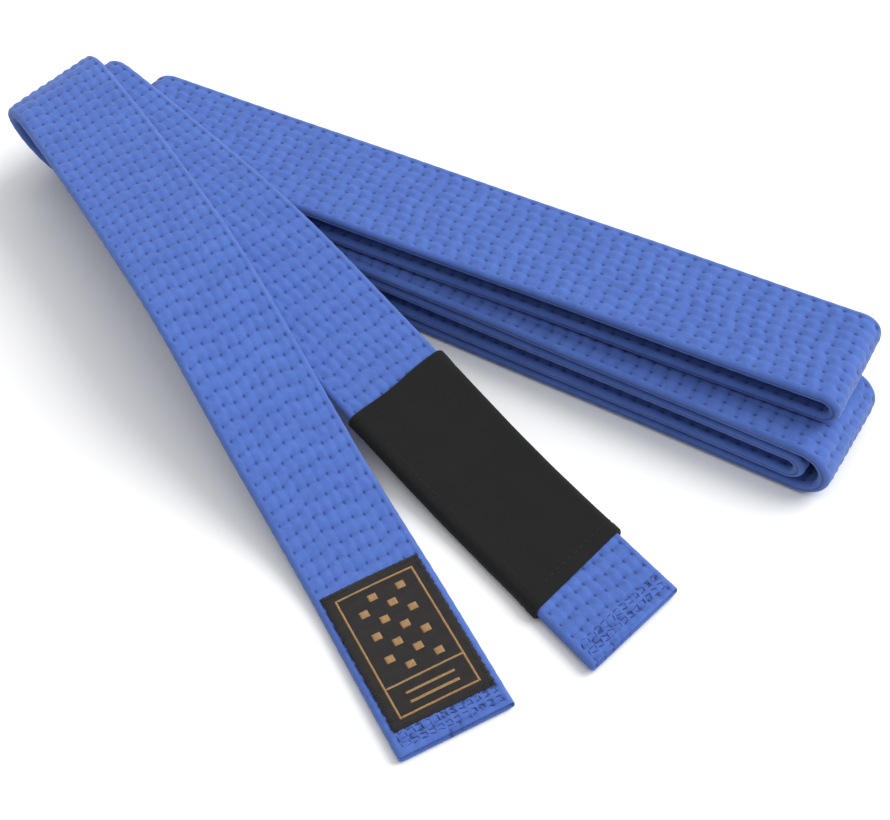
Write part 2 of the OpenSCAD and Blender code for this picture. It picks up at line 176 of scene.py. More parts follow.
class Belt:
    """Maps (along, across, through) on the flat strap, in mm, to a place in the folded belt."""

    def __init__(self):
        route = label_stretches() + bundle_stretches() + bar_stretches()
        self.at = np.concatenate([[0], np.cumsum([z[0] for z in route])])
        place = np.eye(4)
        # each zone is (start, length, creases, tangent of its skew, stretch, places)
        self.zones = []
        for i, (length, bend, skew, turn, n) in enumerate(route):
            count = n * FINE
            stretch = self.shrink(n, count, bend)
            axis = [math.sin(math.radians(skew)), math.cos(math.radians(skew)), 0]
            places = [place.copy()]
            for k in range(count):
                step = self.shift((k + 0.5) * length / count * stretch)
                crease = about(turn_about(axis, bend / count), np.zeros(3))
                side = about(turn_about([0, 0, 1], turn / count), np.zeros(3))
                place = place @ step @ crease @ side @ np.linalg.inv(step)
                places.append(place.copy())
            tan = math.tan(math.radians(skew)) if bend else 0.0
            self.zones.append((self.at[i], length, count, tan, stretch, np.array(places)))
            place = place @ self.shift(length * stretch)
        self.anchor()

    @staticmethod
    def shift(x):
        m = np.eye(4)
        m[0, 3] = x
        return m

    @staticmethod
    def shrink(n, count, bend):
        """Keeps a fold's legs as far apart as the coarser creases of the CAD do."""
        if n == 0 or abs(bend) < 90:
            return 1.0
        coarse = 1 / math.tan(math.pi / 2 / n) / n
        fine = 1 / math.tan(math.pi / 2 / count) / count
        return coarse / fine

    def anchor(self):
        """The floor run lies along +X, back face up, and ends where the right fold starts."""
        goal = np.eye(4)
        goal[:3, :3] = np.diag([1, -1, -1])
        goal[:3, 3] = np.array([0, 0, Z_FLOOR]) + ORIGIN
        right = self.zones[RIGHT_FOLD][-1][0]
        self.base = goal @ np.linalg.inv(right)

    def zone_of(self, s, w):
        """Which stretch holds each point: a skewed fold reaches into the straight runs beside it."""
        last_zone = len(self.zones) - 1
        index = np.clip(np.searchsorted(self.at, s, side="right") - 1, 0, last_zone)
        for i, (start, length, _, tan, _, _) in enumerate(self.zones):
            if tan == 0:
                continue
            lead = w * tan
            first = start + lead
            last = start + length + lead
            inside = (s > first) & (s < last) & (abs(index - i) <= 1)
            index = np.where(inside, i, index)
            index = np.where((index == i) & (s <= first), i - 1, index)
            index = np.where((index == i) & (s >= last), i + 1, index)
        return np.clip(index, 0, last_zone)

    def place(self, s, w, n):
        s, w, n = (np.asarray(a, float) for a in np.broadcast_arrays(s, w, n))
        out = np.zeros(s.shape + (3,))
        index = self.zone_of(s, w)
        for i, (start, length, count, tan, stretch, places) in enumerate(self.zones):
            m = index == i
            if not m.any():
                continue
            local = (s[m] - start) * stretch
            passed = np.zeros(local.shape, int)
            if count:
                pitch = length * stretch / count
                nearest = np.floor((local - w[m] * tan) / pitch + 0.5)
                passed = np.clip(nearest, 0, count).astype(int)
            p = np.stack([local, w[m], n[m], np.ones_like(local)], -1)
            out[m] = np.einsum("ijk,ik->ij", (self.base @ places)[passed], p)[:, :3]
        return out


belt = Belt()
AT = belt.at
S_FLOOR = AT[BUNDLE + 1]
S_CROWN = AT[BUNDLE + 6]
S_TOP = AT[BUNDLE + 7]
S_FOURTH = AT[BUNDLE + 9]
S_LOOP_B = AT[BUNDLE + 12]
S_END = AT[-1]
SLEEVE_1 = S_END - STUB_LEN
SLEEVE_0 = SLEEVE_1 - SLEEVE_LEN

# Stretches of cloth that bend at a joint, from and to
TOP_FLEX_NEAR, TOP_FLEX_FAR = 150, 180
CURL = (69, 89)
LIFT_A = (AT[3] + 1, AT[4] - 1)
RUN_4 = (S_CROWN - TOP_FLEX_FAR, S_CROWN - TOP_FLEX_NEAR)
RUN_5 = (S_TOP + TOP_FLEX_NEAR, S_TOP + TOP_FLEX_FAR)
LIFT_B = (SLEEVE_0 - 11.1, SLEEVE_0 - 0.1)
STUB = (SLEEVE_1 + 2.25, SLEEVE_1 + 12.75)

# Quilting, in mm: its rows run along the belt, and stitches follow each other along a row
ROWS = 10
ROW_PITCH = 3.85
STITCH = 5.5
PUFF = 0.85
# Share of the puff that lies level with the strap's nominal face
LEVEL = 0.7
# Depth, as a share of the puff, and half width of the grooves along the rows and across them
ROW_GROOVE = 0.34
ROW_GROOVE_W = 0.75
CROSS_GROOVE = 0.74
CROSS_GROOVE_W = 1.30
HOLE_DEPTH = 0.45
HOLE_LENGTH = 0.8
# Towards the rim the quilting fades over FADE_W, and would be gone at FADE_TO
FADE_TO = 18.3
FADE_W = 0.9
# Spacing of the cloth's rings along the belt
STEP = 1.1
# Where the flat face ends and the round rim starts
EDGE = 17.75
# Across position that stands for the middle of the rim in the cloth's drawing
RIM_LINE = 21.5
# Angles round the rim, and how far its middle is drawn in
RIM_ANGLES = (75, 55, 35, 17, 0, -17, -35, -55, -75)
RIM_CREASE = 0.30


def row_of(w):
    return w / ROW_PITCH + (ROWS - 1) / 2


def row_at(row):
    return (row - (ROWS - 1) / 2) * ROW_PITCH


def cell_of(s, w):
    """Position in stitches along the belt: the cross grooves wander a little from row to row."""
    wander = 0.13 * np.sin(s / 31.0 + 1.3) * np.sin(w / 9.0 + s / 57.0)
    sway = 0.10 * np.sin(w / 4.1 + s / 23.0)
    slant = 0.05 * w / ROW_PITCH
    by_row = 0.10 * np.sin(2.4 * np.round(row_of(w)) + s / 29.0)
    return s / STITCH + wander + sway + slant + by_row


def puff(s, w):
    """Height of the quilted cloth, as a share of PUFF."""
    row = row_of(w)
    to_row = np.abs(row - np.clip(np.round(row), 0, ROWS - 1)) * ROW_PITCH
    cell = cell_of(s, w)
    to_hole = np.abs(cell - np.round(cell)) * STITCH
    along_row = 1 - ROW_GROOVE * np.exp(-((to_row / ROW_GROOVE_W) ** 2))
    across = 1 - CROSS_GROOVE * np.exp(-((to_hole / CROSS_GROOVE_W) ** 2))
    hole = np.exp(-((to_row / ROW_GROOVE_W) ** 2) - (to_hole / HOLE_LENGTH) ** 2)
    uneven = 1 + 0.22 * np.sin(s * 0.61 + w * 0.9) * np.sin(w * 0.83 - s * 0.23)
    margin = np.clip((FADE_TO - np.abs(w)) / FADE_W, 0, 1)
    return LEVEL + (along_row * across * uneven - HOLE_DEPTH * hole - LEVEL) * margin


def outline():
    """Points round the strap's section: (across, through, share of the quilting)."""
    parts = (0, 0.2, 0.4, 0.6, 0.8)
    inner = [row_at(r) + f * ROW_PITCH for r in range(ROWS - 1) for f in parts]
    flat = [-EDGE] + inner + [row_at(ROWS - 1), EDGE]
    top = [(w, HALF_T, 1.0) for w in flat]
    rim = []
    for angle in RIM_ANGLES:
        c, s = math.cos(math.radians(angle)), math.sin(math.radians(angle))
        crease = RIM_CREASE if angle == 0 else 0.0
        rim.append((EDGE + (HALF_W - EDGE) * c - crease, HALF_T * s, 0.0))
    bottom = [(w, -HALF_T, 1.0) for w in reversed(flat)]
    left = [(-w, n, q) for w, n, q in reversed(rim)]
    return top + rim + bottom + left


SECTION = np.array(outline())
# Points along one face, and round one rim
RIM = len(RIM_ANGLES)
TOP = len(SECTION) // 2 - RIM


def mirror_of(k):
    """The section point on the other face, under point k."""
    return (2 * TOP + RIM - 1 - k) % len(SECTION)


def strap_points(s, w, n, quilted):
    """Places of strap points with the quilting and the small waves of the cloth."""
    rise = PUFF * (puff(s, w) - LEVEL) * quilted * np.sign(n)
    ripple = 0.04 * np.cos(2 * np.pi * cell_of(s, w)) + 0.10 * np.sin(s / 17.0 + w)
    wave = np.where(quilted == 0, ripple, 0)
    return belt.place(s, w + np.sign(w) * wave, n + rise)


def rings_between(s0, s1):
    """Ring places on a grid shared by the whole belt, none of them within 0.2 mm of an end."""
    first = math.ceil((s0 + 0.2) / STEP)
    last = math.floor((s1 - 0.2) / STEP)
    return np.concatenate([[s0], np.arange(first, last + 1) * STEP, [s1]])


def new_object(name, points, faces, uv=None, smooth=True):
    mesh = bpy.data.meshes.new(name)
    mesh.from_pydata([tuple(p) for p in points * MM], [], [tuple(f) for f in faces])
    mesh.update()
    if smooth:
        mesh.polygons.foreach_set("use_smooth", [True] * len(mesh.polygons))
    if uv is not None:
        layer = mesh.uv_layers.new(name="strap")
        index = np.zeros(len(mesh.loops), int)
        mesh.loops.foreach_get("vertex_index", index)
        layer.data.foreach_set("uv", np.asarray(uv)[index].ravel())
    obj = bpy.data.objects.new(name, mesh)
    bpy.context.scene.collection.objects.link(obj)
    return obj


def grid_faces(m, n, closed=True):
    """Quads between m rings of n points."""
    i, j = np.meshgrid(np.arange(m - 1), np.arange(n if closed else n - 1), indexing="ij")
    i, j = i.ravel(), j.ravel()
    k = (j + 1) % n
    return np.stack([i * n + j, i * n + k, (i + 1) * n + k, (i + 1) * n + j], 1)


def cap_faces(base, n, flip):
    """Closes a section by joining each point to the one under it."""
    faces = []
    for k in range(-(RIM // 2) - 1, TOP + RIM // 2):
        a, b = k % n, (k + 1) % n
        c, d = mirror_of(b), mirror_of(a)
        loop = [base + v for v in dict.fromkeys([a, b, c, d])]
        if len(loop) > 2:
            faces.append(loop[::-1] if flip else loop)
    return faces


def sharpen_ends(mesh, n, m):
    """Keeps the end caps out of the shading of the cloth, so that stretches meet without a line."""
    pairs = np.zeros(2 * len(mesh.edges), int)
    mesh.edges.foreach_get("vertices", pairs)
    pairs = pairs.reshape(-1, 2)
    first = (pairs < n).all(1)
    last = (pairs >= (m - 1) * n).all(1)
    sharp = mesh.attributes.new("sharp_edge", "BOOLEAN", "EDGE")
    sharp.data.foreach_set("value", first | last)


# The bar end's skew grows in over this last length
END_FADE = 12
# Rings of a lip: (reach past the end, share of the thickness, share of the width)
LIP_RINGS = ((0.55, 0.92, 1.0), (0.95, 0.62, 1.0), (0.75, 0.30, 0.99), (-0.6, 0.10, 0.985))
# Middle of each ply from the strap's mid plane, and the share at which a ply is fully pinched
PLY_MID = 1.05
PLY_LEVEL = 0.3


def strap_piece(name, s0, s1, skew1=0.0, lip0=False, lip1=False):
    """A closed stretch of the quilted cover between two places along the belt."""
    base = rings_between(s0, s1)
    w, n, quilted = SECTION.T
    count = len(w)
    fade = np.clip((base - (s1 - END_FADE)) / END_FADE, 0, 1)
    s = base[:, None] + fade[:, None] * w[None, :] * math.tan(math.radians(skew1))
    grid_w = np.broadcast_to(w, s.shape)
    grid_n = np.broadcast_to(n, s.shape)
    rings = [strap_points(s, grid_w, grid_n, np.broadcast_to(quilted, s.shape))]
    drawn_w = np.where(quilted == 1, w, np.sign(w) * (RIM_LINE - 0.6 * np.abs(n)))
    uvs = [np.stack([cell_of(s, grid_w), np.broadcast_to(row_of(drawn_w), s.shape)], -1)]
    if lip0:
        extra, extra_uv = lip_rings(s[0], w, n, -1)
        rings.insert(0, extra[::-1])
        uvs.insert(0, extra_uv[::-1])
    if lip1:
        extra, extra_uv = lip_rings(s[-1], w, n, 1)
        rings.append(extra)
        uvs.append(extra_uv)
    points = np.concatenate(rings)
    uv = np.concatenate(uvs)
    m = len(points)
    faces = grid_faces(m, count).tolist()
    faces += cap_faces(0, count, False)
    faces += cap_faces((m - 1) * count, count, True)
    obj = new_object(name, points.reshape(-1, 3), faces, uv.reshape(-1, 2))
    sharpen_ends(obj.data, count, m)
    return obj


def lip_rings(s, w, n, way):
    """A hemmed end: each ply's edge is rounded, with a slit between the two."""
    rings = []
    for reach, level, keep in LIP_RINGS:
        ply = PLY_MID * np.sign(n) * np.minimum(1, np.abs(n) / 1.2)
        if level >= PLY_LEVEL:
            thin = ply + (n - ply) * (level - PLY_LEVEL) / (1 - PLY_LEVEL)
        else:
            thin = n * level
        rings.append(belt.place(s + way * reach, w * keep, thin))
    rings = np.array(rings)
    uv = np.broadcast_to(np.stack([cell_of(s, w), row_of(w)], -1), rings.shape[:2] + (2,))
    return rings, uv


# ---------------------------------------------------------------- materials

def maths(tree, operation, a, b=None, c=None):
    n = tree.nodes.new("ShaderNodeMath")
    n.operation = operation
    for slot, value in enumerate((a, b, c)):
        if value is None:
            continue
        if isinstance(value, (int, float)):
            n.inputs[slot].default_value = value
        else:
            tree.links.new(value, n.inputs[slot])
    return n.outputs[0]


def times(tree, a, b):
    return maths(tree, "MULTIPLY", a, b)


def mixed(tree, share, a, b):
    """Blends colour a into colour b by a share."""
    n = tree.nodes.new("ShaderNodeMix")
    n.data_type = "RGBA"
    for slot, value in ((0, share), (6, a), (7, b)):
        if isinstance(value, (int, float)):
            n.inputs[slot].default_value = value
        elif isinstance(value, tuple):
            n.inputs[slot].default_value = value + (1.0,)
        else:
            tree.links.new(value, n.inputs[slot])
    return n.outputs[2]


def start_material(name, roughness, sheen, sheen_tint=(1, 1, 1)):
    mat = bpy.data.materials.new(name)
    mat.use_nodes = True
    tree = mat.node_tree
    shader = tree.nodes["Principled BSDF"]
    shader.inputs["Roughness"].default_value = roughness
    shader.inputs["Specular IOR Level"].default_value = 0.18
    shader.inputs["Sheen Weight"].default_value = sheen
    shader.inputs["Sheen Roughness"].default_value = 0.55
    shader.inputs["Sheen Tint"].default_value = tuple(sheen_tint) + (1.0,)
    return mat, tree, shader


def strap_uv(tree):
    uv = tree.nodes.new("ShaderNodeUVMap")
    uv.uv_map = "strap"
    split = tree.nodes.new("ShaderNodeSeparateXYZ")
    tree.links.new(uv.outputs[0], split.inputs[0])
    return split.outputs[0], split.outputs[1]


def noise(tree, scale, detail=3.0):
    coords = tree.nodes.new("ShaderNodeTexCoord")
    n = tree.nodes.new("ShaderNodeTexNoise")
    n.inputs["Scale"].default_value = scale
    n.inputs["Detail"].default_value = detail
    tree.links.new(coords.outputs["Object"], n.inputs["Vector"])
    return n.outputs[0]


def to_nearest(tree, value, scale):
    """Distance to the nearest whole number, in units of scale."""
    return times(tree, maths(tree, "SUBTRACT", value, maths(tree, "ROUND", value)), scale)


def bell(tree, *parts):
    """1 at the centre of a spot or line, falling smoothly to 0."""
    total = None
    for part in parts:
        square = times(tree, part, part)
        total = square if total is None else maths(tree, "ADD", total, square)
    return maths(tree, "EXPONENT", times(tree, total, -1.0))


def ribs(tree, x, per_unit):
    """Even ridges along x."""
    return maths(tree, "SINE", times(tree, x, 2 * math.pi * per_unit))


def threads(tree, x, y, across, along):
    """A plain weave of warp and weft, in thread counts per unit of x and y."""
    return times(tree, ribs(tree, x, across), ribs(tree, y, along))


def bump(tree, shader, height, distance, strength=1.0):
    b = tree.nodes.new("ShaderNodeBump")
    b.inputs["Distance"].default_value = distance
    b.inputs["Strength"].default_value = strength
    tree.links.new(height, b.inputs["Height"])
    tree.links.new(b.outputs[0], shader.inputs["Normal"])


def quilt_shade_masks(tree, x, y):
    """Where the stitch holes, rows, cross grooves and rim line are, each from 0 to 1: masks for the
    painted shade in them, the holes' one also for their bump.
    """
    from_middle = maths(tree, "ABSOLUTE", maths(tree, "SUBTRACT", y, (ROWS - 1) / 2))
    sewn = maths(tree, "LESS_THAN", from_middle, ROWS / 2 - 0.2)
    hole = bell(tree, to_nearest(tree, x, STITCH / 0.62), to_nearest(tree, y, ROW_PITCH / 0.46))
    row = bell(tree, to_nearest(tree, y, ROW_PITCH / 0.35))
    cross = bell(tree, to_nearest(tree, x, STITCH / 0.70))
    to_rim = maths(tree, "SUBTRACT", from_middle, RIM_LINE / ROW_PITCH)
    rim = bell(tree, times(tree, to_rim, ROW_PITCH / 0.22))
    return [times(tree, mark, sewn) for mark in (hole, row, cross)] + [rim]


def cover_patches(tree):
    """Slow, soft changes of shade over the cover, from 0 to 1."""
    coarse = times(tree, noise(tree, 90.0), 0.5)
    fine = times(tree, noise(tree, 420.0), 0.5)
    patches = maths(tree, "MULTIPLY_ADD", maths(tree, "ADD", coarse, fine), 2.2, -0.6)
    return maths(tree, "MINIMUM", maths(tree, "MAXIMUM", patches, 0.0), 1.0)


def blue_cotton():
    mat, tree, shader = start_material("blue_quilted_cotton", 0.86, 0.22, (0.75, 0.85, 1.0))
    x, y = strap_uv(tree)
    hole, row, cross, rim = quilt_shade_masks(tree, x, y)
    cloth = mixed(tree, cover_patches(tree), COVER_DARK, COVER_LIGHT)
    # Painted shade along the crease round the rim, between the two plies
    cloth = mixed(tree, times(tree, rim, 0.8), cloth, COVER_CREVICE_SHADE)
    cloth = mixed(tree, times(tree, noise(tree, 1400.0, 2.0), 0.35), cloth, COVER_DARK)
    # Painted shade in the grooves along the rows and across them
    cloth = mixed(tree, times(tree, row, 0.16), cloth, COVER_GROOVE_SHADE)
    cloth = mixed(tree, times(tree, cross, 0.34), cloth, COVER_GROOVE_SHADE)
    # Deeper painted shade in the stitch holes
    cloth = mixed(tree, times(tree, hole, 0.85), cloth, COVER_CREVICE_SHADE)
    tree.links.new(cloth, shader.inputs["Base Color"])
    weave = threads(tree, x, y, STITCH / 0.62, ROW_PITCH / 0.62)
    grain = maths(tree, "ADD", times(tree, weave, 0.5), noise(tree, 2600.0, 2.0))
    grain = maths(tree, "SUBTRACT", grain, times(tree, hole, 1.5))
    bump(tree, shader, grain, 0.00010, 0.7)
    return mat


def thread_material(name, dark, light):
    mat, tree, shader = start_material(name, 0.8, 0.1)
    tree.links.new(mixed(tree, noise(tree, 500.0), dark, light), shader.inputs["Base Color"])
    bump(tree, shader, noise(tree, 3500.0, 2.0), 0.00006, 0.6)
    return mat


def black_cotton():
    mat, tree, shader = start_material("black_cotton", 0.93, 0.05, (0.8, 0.8, 0.9))
    x, y = strap_uv(tree)
    fleck = noise(tree, 2300.0, 2.0)
    cloth = mixed(tree, noise(tree, 60.0), (0.0060, 0.0059, 0.0060), (0.0105, 0.0103, 0.0105))
    cloth = mixed(tree, times(tree, fleck, 0.5), cloth, (0.018, 0.0178, 0.018))
    tree.links.new(cloth, shader.inputs["Base Color"])
    weave = threads(tree, x, y, STITCH / 0.5, ROW_PITCH / 0.5)
    bump(tree, shader, maths(tree, "ADD", times(tree, weave, 0.6), fleck), 0.00010, 0.8)
    return mat


def ribbed_cloth(name, roughness, sheen, dark, light, patch, rib, depth, strength):
    """A weave with ribs across the belt: patch is the noise scale, rib the ribs' spacing in mm."""
    mat, tree, shader = start_material(name, roughness, sheen)
    x, _ = strap_uv(tree)
    tree.links.new(mixed(tree, noise(tree, patch), dark, light), shader.inputs["Base Color"])
    height = maths(tree, "ADD", ribs(tree, x, STITCH / rib), noise(tree, 2500.0, 2.0))
    bump(tree, shader, height, depth, strength)
    return mat


def label_satin():
    dark, light = (0.010, 0.0085, 0.0085), (0.020, 0.016, 0.015)
    return ribbed_cloth("label_satin_weave", 0.62, 0.1, dark, light, 400.0, 0.35, 0.00005, 0.8)


def gold_yarn():
    dark, light = (0.235, 0.125, 0.045), (0.44, 0.26, 0.105)
    return ribbed_cloth("gold_woven_yarn", 0.6, 0.15, dark, light, 700.0, 0.45, 0.00008, 0.9)


def floor_paint():
    mat, tree, shader = start_material("pale_floor", 0.9, 0.0)
    paint = mixed(tree, noise(tree, 3.0), (0.86, 0.86, 0.86), (0.88, 0.88, 0.88))
    tree.links.new(paint, shader.inputs["Base Color"])
    return mat


# Linear colours of the cover: its lighter and darker cloth, mixed at random; then a painted shade
# for its grooves, and a deeper painted shade for its stitch holes and the crease round its rim
COVER_LIGHT = (0.080, 0.160, 0.500)
COVER_DARK = (0.056, 0.114, 0.385)
COVER_GROOVE_SHADE = (0.038, 0.078, 0.300)
COVER_CREVICE_SHADE = (0.013, 0.026, 0.115)
BLUE = blue_cotton()
BLUE_THREAD = thread_material("blue_thread", (0.046, 0.094, 0.340), (0.066, 0.132, 0.450))
HEM_THREAD = thread_material("navy_hem_thread", (0.022, 0.046, 0.190), (0.036, 0.074, 0.280))
BLACK = black_cotton()
BLACK_THREAD = thread_material("black_thread", (0.006, 0.006, 0.006), (0.016, 0.015, 0.016))
LABEL = label_satin()
GOLD = gold_yarn()


def finish_piece(obj, material, body=None, bend=None):
    """Gives a piece its material, and lets it ride on a body, or bakes its place into its mesh where
    it lies between two.
    """
    obj.data.materials.append(material)
    if bend:
        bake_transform(obj)
    else:
        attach(obj, body)
    return obj


# ---------------------------------------------------------------- cover and quilting stitches

# Rings of a thread between its two pointed ends: (place along it, share of its width)
THREAD_RINGS = ((0.16, 0.75), (0.5, 1.0), (0.84, 0.75))
THREAD_POINTS = 2 + 4 * len(THREAD_RINGS)


def thread_faces():
    """Faces of one thread: a point, three rings of four, a point."""
    faces = []
    for k in range(4):
        k2 = (k + 1) % 4
        faces.append((0, 1 + k2, 1 + k))
        for r in (1, 5):
            faces.append((r + k, r + k2, r + 4 + k2, r + 4 + k))
        faces.append((THREAD_POINTS - 1, 9 + k, 9 + k2))
    return faces


def stitch_mesh(name, ends, width, height, rise):
    """Short threads, each from one strap point (along, across, through) to another, arched."""
    a, b = (np.array([e[i] for e in ends], float) for i in (0, 1))
    side = np.sign(a[:, 2:3])
    out_s = b[:, 0] - a[:, 0]
    out_w = b[:, 1] - a[:, 1]
    length = np.hypot(out_s, out_w)[:, None]
    cross = np.stack([-out_w, out_s, out_s * 0], 1) / length
    up = np.concatenate([np.zeros((len(a), 2)), side], 1)
    rings = [a]
    for along, share in THREAD_RINGS:
        centre = a + (b - a) * along + up * rise * 4 * along * (1 - along)
        for c, u in ((-1, 0), (0, 1), (1, 0), (0, -1)):
            rings.append(centre + cross * width / 2 * share * c + up * height / 2 * share * u)
    rings.append(b)
    flat = np.stack(rings, 1).reshape(-1, 3)
    faces = []
    for i in range(len(a)):
        for face in thread_faces():
            placed = tuple(THREAD_POINTS * i + v for v in face)
            faces.append(placed[::-1] if side[i, 0] < 0 else placed)
    return new_object(name, belt.place(*flat.T), faces)


def surface_at(s, w, face, sink=0.0):
    """Level of the quilted face through the strap, less a sink."""
    return face * (HALF_T + PUFF * (float(puff(s, w)) - LEVEL) - sink)


def on_face(s, w, face, sink):
    return (s, w, surface_at(s, w, face, sink))


def cell_place(cell, w):
    """Distance along the strap at which a row reaches a place counted in stitches."""
    s = cell * STITCH
    for _ in range(3):
        s += (cell - float(cell_of(s, w))) * STITCH
    return s


def quilt_stitches(name, s0, s1, face):
    """One thread in each stitch of each row, or None where there is no room for any."""
    ends = []
    for row in range(ROWS):
        w = row_at(row)
        cell = math.ceil(float(cell_of(s0, w)))
        while True:
            a = cell_place(cell + 0.10, w)
            b = cell_place(cell + 0.90, w)
            if b > s1 - 0.3:
                break
            if a > s0 + 0.3:
                ends.append((on_face(a, w, face, 0.12), on_face(b, w, face, 0.12)))
            cell += 1
    if not ends:
        return None
    return stitch_mesh(name, ends, 0.42, 0.34, 0.22)


def bend_ends(s0, s1, bend):
    """Where a bend starts and ends: square to its hinge, and clear of the piece's skewed ends."""
    a, b, skew, turned = bend
    c, s = math.cos(math.radians(skew)), math.sin(math.radians(skew))
    mid = (s0 + s1) / 2
    middle, ahead, across = belt.place([mid, mid + 1, mid], [0, 0, 1.0], [0, 0, 0])
    along = (ahead - middle) * c - (across - middle) * s
    reach = (s1 - s0) / 2 * c - HALF_W * abs(s) - 0.4
    start, end = middle - along * reach, middle + along * reach
    return (a, b, end, start) if turned else (a, b, start, end)


STRETCHES = [
    # name, from, to, body, bend (two bodies, skew, turned round), faces with stitches in view,
    # CAD nodes it stands for, CAD node its front stitches stand for
    ("label_end_cover", 0, CURL[0], "label_end", None, (1, -1),
     ("cover_label_end", "core_face_label_end", "core_back_label_end", "hem_tuck_label_end"),
     "quilting_label_end"),
    ("label_curl_cover", CURL[0], CURL[1], None, ("label_tail", "label_end", -13.2, True), (1, -1),
     ("cover_bend_label_curl", "core_bend_label_curl"), None),
    ("label_tail_cover", CURL[1], LIFT_A[0], "label_tail", None, (1, -1),
     ("cover_label_tail", "core_face_label_tail", "core_back_label_tail"), "quilting_label_tail"),
    ("label_lift_cover", LIFT_A[0], LIFT_A[1], None, ("bundle", "label_tail", -12.2, True), (1, -1),
     ("cover_bend_label_lift", "core_bend_label_lift"), None),
    ("label_loop_cover", LIFT_A[1], S_FLOOR + 30, "bundle", None, (1,),
     ("cover_loop_label",), "quilting_bundle"),
    ("lower_runs_cover", S_FLOOR + 30, RUN_4[0], "bundle", None, (),
     ("cover_run_2", "cover_fold_2_3", "cover_runs_3_4",
      "core_face_label_loop_side", "core_back_label_loop_side"), None),
    ("run_4_bend_cover", RUN_4[0], RUN_4[1], None, ("bundle", "top_fold", 0, False), (),
     ("cover_bend_run_4", "core_bend_run_4"), None),
    ("top_fold_cover", RUN_4[1], RUN_5[0], "top_fold", None, (1,),
     ("cover_top_fold", "core_face_top_fold", "core_back_top_fold"), "quilting_top_fold"),
    ("run_5_bend_cover", RUN_5[0], RUN_5[1], None, ("bundle", "top_fold", 0, True), (1,),
     ("cover_bend_run_5", "core_bend_run_5"), None),
    ("top_run_cover", RUN_5[1], S_FOURTH + 4, "bundle", None, (1,),
     ("cover_run_5", "cover_fold_5_6"), None),
    ("inner_runs_cover", S_FOURTH + 4, S_LOOP_B - 10, "bundle", None, (),
     ("cover_runs_6_7",), None),
    ("bar_loop_cover", S_LOOP_B - 10, LIFT_B[0], "bundle", None, (-1,),
     ("cover_loop_bar", "core_face_bar_loop_side", "core_back_bar_loop_side"), None),
    ("bar_lift_cover", LIFT_B[0], LIFT_B[1], None, ("bundle", "bar_tail", 0, False), (1, -1),
     ("cover_bend_bar_lift", "core_bend_bar_lift"), None),
    ("bar_tail_cover", LIFT_B[1], STUB[0], "bar_tail", None, (),
     ("cover_bar_tail", "core_face_bar_tail", "core_back_bar_tail"), None),
    ("bar_stub_bend_cover", STUB[0], STUB[1], None, ("bar_tail", "bar_stub", 0, False), (1, -1),
     ("cover_bend_stub_curl", "core_bend_stub_curl"), None),
    ("bar_stub_cover", STUB[1], S_END, "bar_stub", None, (1, -1),
     ("cover_bar_stub", "core_face_bar_stub", "core_back_bar_stub", "hem_tuck_bar_end"), None),
]
# Where the stitches of a piece don't reach its ends
STITCH_SPAN = {
    "label_end_cover": (7.5, CURL[0]),
    "label_loop_cover": (LIFT_A[1], S_FLOOR - 12),
    "bar_stub_cover": (STUB[1], S_END - 8),
}


def make_strap():
    for name, s0, s1, body, bend, faces, nodes, thread_node in STRETCHES:
        first = s0 == 0
        last = s1 == S_END
        obj = strap_piece(name, s0, s1, BAR_END_SKEW if last else 0.0, first, last)
        ends = bend_ends(s0, s1, bend) if bend else None
        finish_piece(obj, BLUE, body, ends)
        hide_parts(*nodes)
        t0, t1 = STITCH_SPAN.get(name, (s0, s1))
        for face in faces:
            side = "front" if face > 0 else "back"
            threads_obj = quilt_stitches(f"{name[:-6]}_stitches_{side}", t0, t1, face)
            if threads_obj is None:
                continue
            finish_piece(threads_obj, BLUE_THREAD, body, ends)
            if thread_node and face == 1:
                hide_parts(thread_node)


# ---------------------------------------------------------------- hems, sleeve and label

# How deep a hem's threads lie in the cloth
HEM_SINK = 0.05


def steps(first, last, step):
    """Even places from first, up to but without last."""
    places = []
    place = first
    while place < last:
        places.append(place)
        place += step
    return places


def hem_lines(mid, depth, face, tan):
    """Four slightly wavy lines of stitches across the belt."""
    ends = []
    for line in range(4):
        for w in steps(-17.6, 17.0, 2.9):
            along = mid + (line - 1.5) * depth / 3 + w * tan
            wobble = 0.35 * math.sin(w * 1.9 + line * 2.0)
            _, _, near = on_face(along, w, face, HEM_SINK)
            _, _, far = on_face(along, w + 2.5, face, HEM_SINK)
            ends.append(((along + wobble, w, near), (along - wobble, w + 2.5, far)))
    return ends


def hem_ticks(mid, depth, face, tan):
    """Short stitches along the belt, two in each of thirteen places across it."""
    ends = []
    for k in range(13):
        w = -17.0 + k * 2.83
        for part in (-0.27, 0.27):
            a = mid + (part - 0.2) * depth + w * tan
            b = mid + (part + 0.2) * depth + w * tan
            ends.append((on_face(a, w, face, HEM_SINK), on_face(b, w + 0.5, face, HEM_SINK)))
    return ends


def hem_stitches(name, mid, depth, face, skew, body, stand_for):
    """The dense sewing that holds a folded-in end: lines across with short ones between."""
    tan = math.tan(math.radians(skew))
    ends = hem_lines(mid, depth, face, tan) + hem_ticks(mid, depth, face, tan)
    obj = stitch_mesh(name, ends, 0.42, 0.36, 0.16)
    finish_piece(obj, HEM_THREAD, body)
    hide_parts(*stand_for)


